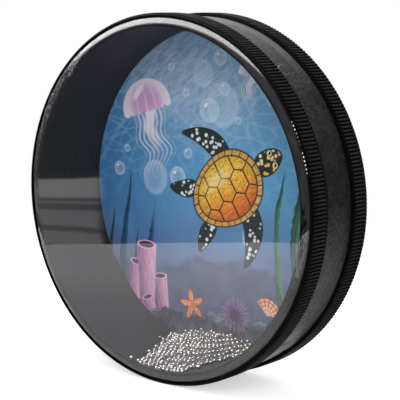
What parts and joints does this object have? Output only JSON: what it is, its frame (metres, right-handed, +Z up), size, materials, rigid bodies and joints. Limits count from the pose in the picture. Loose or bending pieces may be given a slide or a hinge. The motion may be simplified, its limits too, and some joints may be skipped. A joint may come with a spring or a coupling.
{
  "type": "ocean drum",
  "caption": "Shallow two-headed drum with a clear front head, a printed rear head, ribbed edge trims and loose steel beads that roll inside for a surf sound.",
  "frame": {"origin": "middle of the drum, on its axis, halfway between the outer faces of the two heads", "axes": "+Z up as the drum stands on its rim, +Y along the drum's axis towards the printed head, +X to the right of someone who faces the clear head"},
  "size_m": [0.254, 0.0658, 0.254],
  "materials": {
    "stained_plywood": "bent plywood, stained charcoal, satin lacquer",
    "vinyl_wrap": "black vinyl sheet with a soft gloss and fine wrinkles",
    "clear_film": "clear polyester film, glossy",
    "printed_film": "polyester film with an undersea print, glossy",
    "edge_trim": "black ribbed moulding, satin",
    "bead_steel": "polished steel shot"
  },
  "bodies": {
    "drum": {"hoop": "stained_plywood", "wrap": "vinyl_wrap", "clear_head": "clear_film", "printed_head": "printed_film", "front_trim": "edge_trim", "rear_trim": "edge_trim"},
    "bead_pile": {"floor_beads_front": "bead_steel", "floor_beads_rear": "bead_steel", "second_course_beads": "bead_steel", "third_course_beads": "bead_steel", "upper_beads": "bead_steel"},
    "stray_1": {"stray_bead_1": "bead_steel"},
    "stray_2": {"stray_bead_2": "bead_steel"},
    "stray_3": {"stray_bead_3": "bead_steel"}
  },
  "joints": [
    {"name": "pile_roll", "type": "hinge", "parent": "drum", "child": "bead_pile", "pos_m": [0, 0, 0], "axis": [0, 1, 0], "continuous": true},
    {"name": "stray_1_roll", "type": "hinge", "parent": "bead_pile", "child": "stray_1", "pos_m": [0, 0, 0], "axis": [0, 1, 0], "range_deg": [0, 332]},
    {"name": "stray_2_roll", "type": "hinge", "parent": "bead_pile", "child": "stray_2", "pos_m": [0, 0, 0], "axis": [0, 1, 0], "range_deg": [0, 320]},
    {"name": "stray_3_roll", "type": "hinge", "parent": "bead_pile", "child": "stray_3", "pos_m": [0, 0, 0], "axis": [0, -1, 0], "range_deg": [0, 332]}
  ]
}
